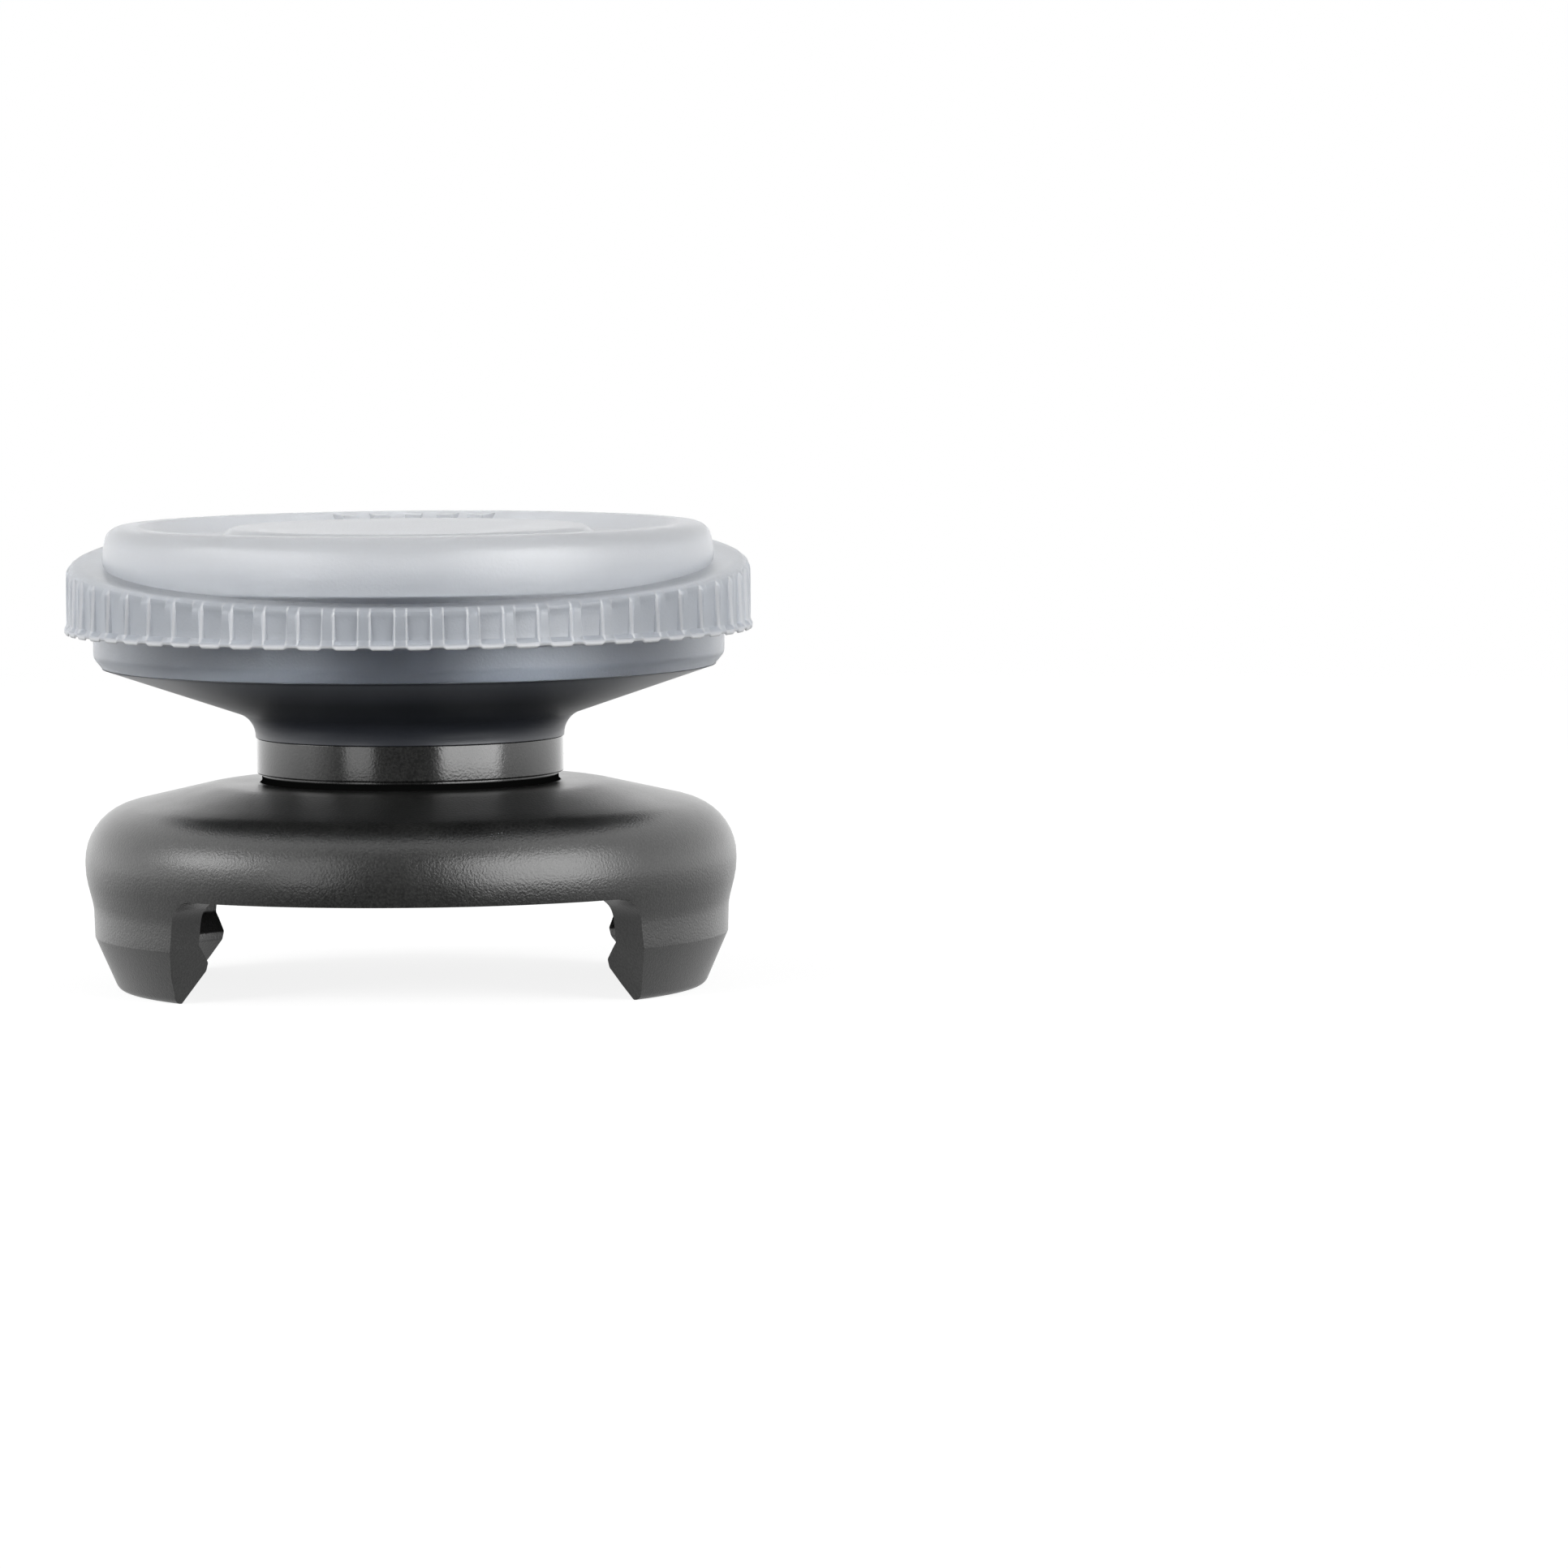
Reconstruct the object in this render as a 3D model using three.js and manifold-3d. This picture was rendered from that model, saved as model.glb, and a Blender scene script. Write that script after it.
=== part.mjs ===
// Thumb grip for a controller's stick: a soft ribbed pad on a short neck, over a domed base with two clips.
// Millimetres, +Z up. The neck's axis is the Z axis and z = 0 is the underside of the clips.
// The clips are on +X and -X, the open notches between them face -Y (front) and +Y (back).
import * as THREE from "three";
import { mergeVertices } from "three/addons/utils/BufferGeometryUtils.js";
import Module from "manifold-3d";

const wasm = await Module();
wasm.setup();

// Fineness: facets round the axis, the same on every round piece, the turn between two points of a fillet, how close
// two points are when they are one, and how much of a side its two fillets may take together.
const FACETS = 60;
const ARC_STEP = THREE.MathUtils.degToRad(28);
const MERGE_DISTANCE = 1e-4;
const FILLET_SHARE = 0.98;

// What the grip snaps onto, and the room that it leaves.
const STICK_CAP_RADIUS = 8.25;
const STICK_CAP_CLEARANCE = 0.15;
const STICK_CAP_THICKNESS = 2.95;

// Clips: the hook's reach under the stick's cap, its levels above the feet, and the lead-in below it.
const HOOK_REACH = 0.5;
const HOOK_TIP_LOW = 0.95;
const HOOK_TIP_HIGH = 1.2;
const HOOK_TOP = 1.75;
const HOOK_FILLET = 0.12;
const FOOT_RADIUS = 8.8;
const FOOT_WIDTH = 0.24;
const FOOT_FILLET = 0.3;

// Domed base: its widest ring, the waist below it, the crease above the clips' taper, and the slope of its top.
const DOME_RADIUS = 9.77;
const DOME_SHOULDER_Z = 5.26;
const DOME_SHOULDER_FILLET = 1.75;
const DOME_WIDEST_Z = 3.45;
const DOME_WIDEST_FILLET = 2.4;
const WAIST_RADIUS = 9.53;
const WAIST_Z = 2.5;
const WAIST_FILLET = 1.5;
const CREASE_RADIUS = 9.5;
const CREASE_Z = 1.6;
const DOME_FLAT_RADIUS = 5.9;
const DOME_TOP_Z = 6.15;
const DOME_TOP_FILLET = 2.5;
const SOCKET_FILLET = 0.3;

// Notches, front and back: half angles at the top, at the crease and at the feet, the top's height and its eased
// corners, how far the cutter runs past the wall and the feet, and its slices through the wall.
const NOTCH_TOP_ANGLE = THREE.MathUtils.degToRad(46);
const NOTCH_CREASE_ANGLE = THREE.MathUtils.degToRad(47.2);
const NOTCH_FOOT_ANGLE = THREE.MathUtils.degToRad(50.9);
const NOTCH_TOP_Z = 3.15;
const NOTCH_EASE_WIDTH = 0.65;
const NOTCH_EASE_HEIGHT = 0.4;
const NOTCH_FILLET = 0.7;
const NOTCH_OVERRUN = 1;
const NOTCH_SLICES = 8;

// Neck of the base: a collar, and a band that stands a little proud of it.
const NECK_RADIUS = 4.6;
const COLLAR_INSET = 0.15;
const COLLAR_HEIGHT = 0.28;
const BAND_HEIGHT = 1.07;
const BAND_CHAMFER = 0.05;
const COLLAR_FILLET = 0.12;

// Head core: a spigot in the neck's bore, a flared bowl, and a disc inside the cap.
const SPIGOT_RADIUS = 3;
const SPIGOT_LENGTH = 2.1;
const SPIGOT_CLEARANCE = 0.1;
const BORE_BOTTOM_GAP = 0.1;
const BOWL_FOOT_STEP = 0.03;
const BOWL_FOOT_HEIGHT = 0.58;
const BOWL_FILLET = 0.8;
const BOWL_RISE = 1.55;
const BOWL_EDGE_RADIUS = 9.2;
const DISC_RADIUS = 8.7;
const DISC_HEIGHT = 2.6;
const DISC_FILLET = 0.3;

// Cap: a skirt over the core's disc, a bulging shoulder and a raised rim, and in it a trough round a dished pad.
const CAP_CLEARANCE = 0.1;
const SKIRT_RADIUS = 9.46;
const SKIRT_FILLET = 0.32;
const SHOULDER_RADIUS = 9.18;
const SHOULDER_FOOT_RADIUS = 8.9;
const CAP_HEIGHT = 4.25;
const RIM_OUTER_RADIUS = 9.02;
const RIM_OUTER_FILLET = 0.7;
const SHOULDER_DROP = 0.95;
const SHOULDER_FILLET = 3;
const RIM_INNER_RADIUS = 8.1;
const RIM_INNER_FILLET = 0.36;
const TROUGH_OUTER_RADIUS = 7.3;
const TROUGH_INNER_RADIUS = 5.75;
const TROUGH_DEPTH = 0.42;
const PAD_RADIUS = 5.3;
const PAD_EDGE_DEPTH = 0.07;
const PAD_CENTRE_DEPTH = 0.45;
const DISH_FILLET = 0.3;

// Grip bars: short raised bars across the trough, at the back.
const BAR_COUNT = 5;
const BAR_PITCH = THREE.MathUtils.degToRad(8.2);
const BAR_WIDTH = 0.5;
const BAR_INNER_RADIUS = 6.7;
const BAR_OUTER_RADIUS = 8.2;
const BAR_TOP_DEPTH = 0.05;
const BAR_ROOT_DEPTH = 0.6;

// Ribbed flange: its upper face slopes down to the front, its underside is level.
const RIB_COUNT = 60;
const RIB_DEPTH = 0.16;
const RIB_SHARE = 0.4;
const RIB_FLANK_SHARE = 0.1;
const FLANGE_RADIUS = 10.25;
const FLANGE_LIP = 0.06;
const FLANGE_LIP_HEIGHT = 0.2;
const FLANGE_Z = 10.73;
const FLANGE_HEIGHT = 2.05;
const FLANGE_TILT = THREE.MathUtils.degToRad(5.1);
const FLANGE_CHAMFER = 0.14;
const FLANGE_ROOT_RADIUS = 8.85;

// Levels that follow from the sizes above.
const socketRadius = STICK_CAP_RADIUS + STICK_CAP_CLEARANCE;
const hookRadius = socketRadius - HOOK_REACH;
const seatZ = HOOK_TOP + STICK_CAP_THICKNESS;
const collarTopZ = DOME_TOP_Z + COLLAR_HEIGHT;
const neckTopZ = collarTopZ + BAND_HEIGHT;
const skirtZ = neckTopZ + BOWL_FOOT_HEIGHT + BOWL_RISE;
const discTopZ = skirtZ + DISC_HEIGHT;
const crestZ = skirtZ + CAP_HEIGHT;
const flangeTopZ = FLANGE_Z + FLANGE_HEIGHT;

// A corner of an outline, in radius and height, with the fillet that rounds it.
const corner = (r, z, fillet = 0) => ({ at: new THREE.Vector2(r, z), fillet });

// Half the angle inside each corner of an open outline.
function halfAngle(corners, i) {
  const back = corners[i - 1].at.clone().sub(corners[i].at);
  const ahead = corners[i + 1].at.clone().sub(corners[i].at);
  return Math.acos(back.dot(ahead) / (back.length() * ahead.length())) / 2;
}

// How far the fillet of each corner reaches along its sides: less than it asks for where a side is too short.
function reachesOf(corners) {
  const asked = corners.map(({ fillet }, i) => (fillet === 0 ? 0 : fillet / Math.tan(halfAngle(corners, i))));
  return asked.map((reach, i) => {
    if (reach === 0) return 0;
    const shares = [i - 1, i + 1].map((j) => {
      return (FILLET_SHARE * corners[i].at.distanceTo(corners[j].at)) / (reach + asked[j]);
    });
    return reach * Math.min(1, ...shares);
  });
}

// The points of an open outline given by its corners, each rounded by an arc.
function outlineOf(corners) {
  const points = [];
  const reaches = reachesOf(corners);
  corners.forEach(({ at }, i) => {
    const reach = reaches[i];
    if (reach === 0) {
      points.push(at.clone());
      return;
    }
    const back = corners[i - 1].at.clone().sub(at);
    const ahead = corners[i + 1].at.clone().sub(at);
    const half = halfAngle(corners, i);
    const radius = reach * Math.tan(half);
    const middle = back.normalize().clone().add(ahead.normalize()).normalize();
    const centre = at.clone().addScaledVector(middle, radius / Math.sin(half));
    const start = at.clone().addScaledVector(back, reach);
    const turn = (Math.PI - 2 * half) * Math.sign(ahead.cross(back));
    const steps = Math.max(1, Math.ceil(Math.abs(turn) / ARC_STEP));
    for (let k = 0; k <= steps; k++) {
      points.push(start.clone().rotateAround(centre, (turn * k) / steps));
    }
  });
  return points;
}

// A closed mesh as a solid that can be joined and cut.
function solidOf(geometry) {
  const bare = geometry.clone();
  bare.deleteAttribute("normal");
  bare.deleteAttribute("uv");
  const merged = mergeVertices(bare, MERGE_DISTANCE);
  const index = merged.index.array;
  const triVerts = [];
  for (let i = 0; i < index.length; i += 3) {
    const [a, b, c] = index.slice(i, i + 3);
    if (a !== b && b !== c && c !== a) triVerts.push(a, b, c);
  }
  return new wasm.Manifold(
    new wasm.Mesh({
      numProp: 3,
      vertProperties: merged.attributes.position.array,
      triVerts: new Uint32Array(triVerts),
    }),
  );
}

// A solid as a mesh again, with the name of its piece and its finish.
function meshOf(solid, name, finish) {
  const { vertProperties, triVerts } = solid.getMesh();
  const indexed = new THREE.BufferGeometry();
  indexed.setAttribute("position", new THREE.BufferAttribute(vertProperties, 3));
  indexed.setIndex(new THREE.BufferAttribute(triVerts, 1));
  const geometry = indexed.toNonIndexed();
  geometry.computeVertexNormals();
  const mesh = new THREE.Mesh(geometry, new THREE.MeshStandardMaterial(finish));
  mesh.name = name;
  return mesh;
}

// An outline turned about the Z axis. Its first facet edge is at the front.
function turned(points, facets = FACETS) {
  return new THREE.LatheGeometry(points, facets).rotateX(Math.PI / 2);
}

// Base: dome, clips' ring and neck as one turned body, still without its notches.
function baseBody() {
  const boreRadius = SPIGOT_RADIUS + SPIGOT_CLEARANCE;
  const boreBottomZ = neckTopZ - SPIGOT_LENGTH - BORE_BOTTOM_GAP;
  const collarRadius = NECK_RADIUS - COLLAR_INSET;
  const corners = [
    corner(0, seatZ),
    corner(socketRadius, seatZ, SOCKET_FILLET),
    corner(socketRadius, HOOK_TOP, HOOK_FILLET),
    corner(hookRadius, HOOK_TIP_HIGH, HOOK_FILLET),
    corner(hookRadius, HOOK_TIP_LOW, HOOK_FILLET),
    corner(FOOT_RADIUS - FOOT_WIDTH, 0),
    corner(FOOT_RADIUS, 0, FOOT_FILLET),
    corner(CREASE_RADIUS, CREASE_Z),
    corner(WAIST_RADIUS, WAIST_Z, WAIST_FILLET),
    corner(DOME_RADIUS, DOME_WIDEST_Z, DOME_WIDEST_FILLET),
    corner(DOME_RADIUS, DOME_SHOULDER_Z, DOME_SHOULDER_FILLET),
    corner(DOME_FLAT_RADIUS, DOME_TOP_Z, DOME_TOP_FILLET),
    corner(collarRadius, DOME_TOP_Z, COLLAR_FILLET),
    corner(collarRadius, collarTopZ),
    corner(NECK_RADIUS - BAND_CHAMFER, collarTopZ),
    corner(NECK_RADIUS, collarTopZ + BAND_CHAMFER),
    corner(NECK_RADIUS, neckTopZ),
    corner(boreRadius, neckTopZ),
    corner(boreRadius, boreBottomZ),
    corner(0, boreBottomZ),
  ];
  return solidOf(turned(outlineOf(corners)));
}

// The outline of a notch, unrolled from the dome's widest ring: width along the ring, and height.
function notchOutline() {
  const slant = (NOTCH_FOOT_ANGLE - NOTCH_CREASE_ANGLE) / CREASE_Z;
  const topHalf = DOME_RADIUS * NOTCH_TOP_ANGLE;
  const creaseHalf = DOME_RADIUS * NOTCH_CREASE_ANGLE;
  const lowHalf = DOME_RADIUS * (NOTCH_FOOT_ANGLE + slant * NOTCH_OVERRUN);
  const right = [
    corner(lowHalf, -NOTCH_OVERRUN),
    corner(creaseHalf, CREASE_Z, NOTCH_FILLET),
    corner(topHalf, NOTCH_TOP_Z - NOTCH_EASE_HEIGHT, NOTCH_FILLET),
    corner(topHalf - NOTCH_EASE_WIDTH, NOTCH_TOP_Z, NOTCH_FILLET),
  ];
  const left = right.map(({ at, fillet }) => corner(-at.x, at.y, fillet)).reverse();
  return outlineOf([...right, ...left]);
}

// A notch through the wall on one side: its sides run through the Z axis, so it is a wedge.
function notchCutter(side) {
  const outer = DOME_RADIUS + NOTCH_OVERRUN;
  const inner = hookRadius * Math.cos(NOTCH_FOOT_ANGLE) - NOTCH_OVERRUN;
  const flat = notchOutline().map((p) => new THREE.Vector2(outer * Math.tan(p.x / DOME_RADIUS), p.y));
  const wedge = new THREE.ExtrudeGeometry(new THREE.Shape(flat), {
    depth: outer - inner,
    steps: NOTCH_SLICES,
    bevelEnabled: false,
  });
  wedge.rotateX(Math.PI / 2);
  wedge.translate(0, -inner, 0);
  const position = wedge.attributes.position;
  for (let i = 0; i < position.count; i++) {
    position.setX(i, (position.getX(i) * -position.getY(i)) / outer);
  }
  return solidOf(wedge.rotateZ(side));
}

// Core of the head: spigot, bowl and disc, turned in one piece.
function headCore() {
  const bowlFootRadius = NECK_RADIUS + BOWL_FOOT_STEP;
  const spigotEndZ = neckTopZ - SPIGOT_LENGTH;
  const corners = [
    corner(0, spigotEndZ),
    corner(SPIGOT_RADIUS, spigotEndZ),
    corner(SPIGOT_RADIUS, neckTopZ),
    corner(bowlFootRadius, neckTopZ),
    corner(bowlFootRadius, neckTopZ + BOWL_FOOT_HEIGHT, BOWL_FILLET),
    corner(BOWL_EDGE_RADIUS, skirtZ),
    corner(DISC_RADIUS, skirtZ),
    corner(DISC_RADIUS, discTopZ, DISC_FILLET),
    corner(0, discTopZ),
  ];
  return solidOf(turned(outlineOf(corners)));
}

// Cap without its flange: skirt, shoulder, rim and dish outside, and the core's seat inside.
function capBody() {
  const seatRadius = DISC_RADIUS + CAP_CLEARANCE;
  const shoulderZ = crestZ - SHOULDER_DROP;
  const corners = [
    corner(0, discTopZ),
    corner(seatRadius, discTopZ),
    corner(seatRadius, skirtZ),
    corner(BOWL_EDGE_RADIUS, skirtZ),
    corner(SKIRT_RADIUS, skirtZ + SKIRT_FILLET, SKIRT_FILLET),
    corner(SKIRT_RADIUS, FLANGE_Z + FLANGE_LIP_HEIGHT),
    corner(SHOULDER_FOOT_RADIUS, FLANGE_Z + 2 * FLANGE_LIP_HEIGHT),
    corner(SHOULDER_RADIUS, shoulderZ, SHOULDER_FILLET),
    corner(RIM_OUTER_RADIUS, crestZ, RIM_OUTER_FILLET),
    corner(RIM_INNER_RADIUS, crestZ, RIM_INNER_FILLET),
    corner(TROUGH_OUTER_RADIUS, crestZ - TROUGH_DEPTH, DISH_FILLET),
    corner(TROUGH_INNER_RADIUS, crestZ - TROUGH_DEPTH),
    corner(PAD_RADIUS, crestZ - PAD_EDGE_DEPTH, DISH_FILLET),
    corner(0, crestZ - PAD_CENTRE_DEPTH),
  ];
  return solidOf(turned(outlineOf(corners)));
}

// Where the four points of each rib pitch lie, in shares of the pitch, and whether they are in the groove.
function ribPoints() {
  const half = RIB_SHARE / 2;
  return [
    { share: -half, groove: false },
    { share: half, groove: false },
    { share: half + RIB_FLANK_SHARE, groove: true },
    { share: 1 - half - RIB_FLANK_SHARE, groove: true },
  ];
}

// Ribbed flange: a turned ring whose wall is grooved and whose upper face leans down to the front.
function ribbedFlange() {
  const lipRadius = FLANGE_RADIUS + FLANGE_LIP;
  const profile = outlineOf([
    corner(FLANGE_ROOT_RADIUS, FLANGE_Z),
    corner(lipRadius, FLANGE_Z),
    corner(lipRadius, FLANGE_Z + FLANGE_LIP_HEIGHT),
    corner(FLANGE_RADIUS, FLANGE_Z + FLANGE_LIP_HEIGHT),
    corner(FLANGE_RADIUS, flangeTopZ - FLANGE_CHAMFER),
    corner(FLANGE_RADIUS - FLANGE_CHAMFER, flangeTopZ),
    corner(FLANGE_ROOT_RADIUS, flangeTopZ),
    corner(FLANGE_ROOT_RADIUS, FLANGE_Z),
  ]);
  const points = ribPoints();
  const ring = turned(profile, RIB_COUNT * points.length);
  const position = ring.attributes.position;
  const pitch = (2 * Math.PI) / RIB_COUNT;
  const lean = Math.tan(FLANGE_TILT);
  const middleZ = FLANGE_Z + FLANGE_HEIGHT / 2;
  for (let i = 0; i < position.count; i++) {
    const column = Math.floor(i / profile.length);
    const point = points[column % points.length];
    const angle = (Math.floor(column / points.length) + point.share) * pitch;
    const z = position.getZ(i);
    const radius = Math.hypot(position.getX(i), position.getY(i));
    const lip = z <= FLANGE_Z + FLANGE_LIP_HEIGHT && radius > FLANGE_RADIUS;
    const wall = radius > FLANGE_RADIUS - 1.5 * FLANGE_CHAMFER && z > FLANGE_Z && !lip;
    const r = point.groove && wall ? radius - RIB_DEPTH : radius;
    const y = -r * Math.cos(angle);
    position.setXYZ(i, r * Math.sin(angle), y, z > middleZ ? z + y * lean : z);
  }
  return solidOf(ring);
}

// One grip bar, at an angle from the back.
function gripBar(angle) {
  const length = BAR_OUTER_RADIUS - BAR_INNER_RADIUS;
  const height = BAR_ROOT_DEPTH - BAR_TOP_DEPTH;
  const bar = new THREE.BoxGeometry(BAR_WIDTH, length, height);
  bar.translate(0, BAR_INNER_RADIUS + length / 2, crestZ - BAR_TOP_DEPTH - height / 2);
  return solidOf(bar.rotateZ(angle));
}

// The three pieces.
function clipBase() {
  const notched = baseBody().subtract(notchCutter(0)).subtract(notchCutter(Math.PI));
  return meshOf(notched, "clip_base", { color: 0x5a5b59, roughness: 0.5, metalness: 0 });
}

function core() {
  return meshOf(headCore(), "head_core", { color: 0x1b1e23, roughness: 0.35, metalness: 0 });
}

function thumbCap() {
  let cap = capBody().add(ribbedFlange());
  for (let i = 0; i < BAR_COUNT; i++) {
    cap = cap.add(gripBar((i - (BAR_COUNT - 1) / 2) * BAR_PITCH));
  }
  return meshOf(cap, "thumb_cap", { color: 0xc6cad0, roughness: 0.55, metalness: 0 });
}

const thumbGrip = new THREE.Group();
thumbGrip.add(clipBase(), core(), thumbCap());

export default thumbGrip;
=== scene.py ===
"""A thumb grip for a controller's stick, dressed for a product picture on white.

The grip stands on its two clips: a satin domed base with a short neck, a dark flared core, and a
frosted see-through cap with a ribbed flange. The pieces and their finishes are measured in
millimetres, the studio round them in metres.
"""

import logging
import math
from dataclasses import dataclass
from enum import Enum

import bmesh
import bpy
from mathutils import Matrix, Vector


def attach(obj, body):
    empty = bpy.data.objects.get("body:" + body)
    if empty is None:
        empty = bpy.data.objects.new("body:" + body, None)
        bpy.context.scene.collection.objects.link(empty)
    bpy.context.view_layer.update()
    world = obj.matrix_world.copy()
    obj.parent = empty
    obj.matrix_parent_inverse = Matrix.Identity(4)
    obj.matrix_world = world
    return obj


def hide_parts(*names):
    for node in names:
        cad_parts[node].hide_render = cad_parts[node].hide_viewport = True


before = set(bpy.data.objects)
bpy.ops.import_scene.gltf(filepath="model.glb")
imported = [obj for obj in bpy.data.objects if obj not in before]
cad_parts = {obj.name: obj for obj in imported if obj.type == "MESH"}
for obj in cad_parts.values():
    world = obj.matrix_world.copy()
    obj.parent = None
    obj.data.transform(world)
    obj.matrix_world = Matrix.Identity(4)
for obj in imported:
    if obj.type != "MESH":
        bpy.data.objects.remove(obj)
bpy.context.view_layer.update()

ROOT = "root"
MM = 0.001
FRONT = -math.pi / 2
GRAIN_DETAIL = 2
PATCH_DETAIL = 3
MIX_COLOURS = (6, 7)
MIX_RESULT = 2

LOG = logging.getLogger("thumb_grip")

Colour = tuple[float, float, float]
Socket = bpy.types.NodeSocket


def share_between(low: float, high: float, value: float) -> float:
    """Tell how far a value is on the way from low to high.

    Args:
        low: Where the way starts.
        high: Where it ends.
        value: The place to read.

    Returns:
        A share from 0 to 1.
    """
    return min(1.0, max(0.0, (value - low) / (high - low)))


def smoothstep(low: float, high: float, value: float) -> float:
    """Ease from 0 at low to 1 at high.

    Args:
        low: Where the step starts.
        high: Where it ends.
        value: The place to read.

    Returns:
        A share from 0 to 1.
    """
    share = share_between(low, high, value)
    return share * share * (3 - 2 * share)


def grey(level: float) -> tuple[float, float, float, float]:
    """Give a neutral colour for a shader.

    Args:
        level: How light it is.

    Returns:
        Red, green, blue and alpha.
    """
    return (level, level, level, 1)


class Value:
    """A shader socket that Python's operators turn into Math nodes."""

    def __init__(self, graph: "Graph", socket: Socket) -> None:
        """Wrap a socket.

        Args:
            graph: The graph that new nodes go into.
            socket: The output socket to wrap.
        """
        self.graph = graph
        self.socket = socket

    def _join(self, operation: str, first: "Value | float", second: "Value | float") -> "Value":
        """Add one Math node.

        Args:
            operation: The Math node's operation.
            first: Its first input.
            second: Its second input.

        Returns:
            The node's output.
        """
        node = self.graph.node("ShaderNodeMath", {"operation": operation}, {0: first, 1: second})
        return Value(self.graph, node.outputs[0])

    def __add__(self, other: "Value | float") -> "Value":
        """Add."""
        return self._join("ADD", self, other)

    def __radd__(self, other: float) -> "Value":
        """Add to a number."""
        return self._join("ADD", other, self)

    def __sub__(self, other: "Value | float") -> "Value":
        """Subtract."""
        return self._join("SUBTRACT", self, other)

    def __rsub__(self, other: float) -> "Value":
        """Subtract from a number."""
        return self._join("SUBTRACT", other, self)

    def __mul__(self, other: "Value | float") -> "Value":
        """Multiply."""
        return self._join("MULTIPLY", self, other)

    def __rmul__(self, other: float) -> "Value":
        """Multiply a number."""
        return self._join("MULTIPLY", other, self)

    def larger(self, other: "Value | float") -> "Value":
        """Take the larger of two."""
        return self._join("MAXIMUM", self, other)

    def ping_pong(self, scale: float) -> "Value":
        """Fold back and forth between 0 and a scale."""
        return self._join("PINGPONG", self, scale)

    def size(self) -> "Value":
        """Drop the sign."""
        return self.larger(0 - self)

    def angle(self, other: "Value") -> "Value":
        """Give the angle of the direction that has this as its Y and the other as its X."""
        return self._join("ARCTAN2", self, other)

    def swing(self, middle: float, width: float) -> "Value":
        """Spread a noise round a middle value.

        Args:
            middle: The value at half noise.
            width: How far apart the values at no noise and at full noise are.

        Returns:
            The spread value.
        """
        return middle - width / 2 + width * self


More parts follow.
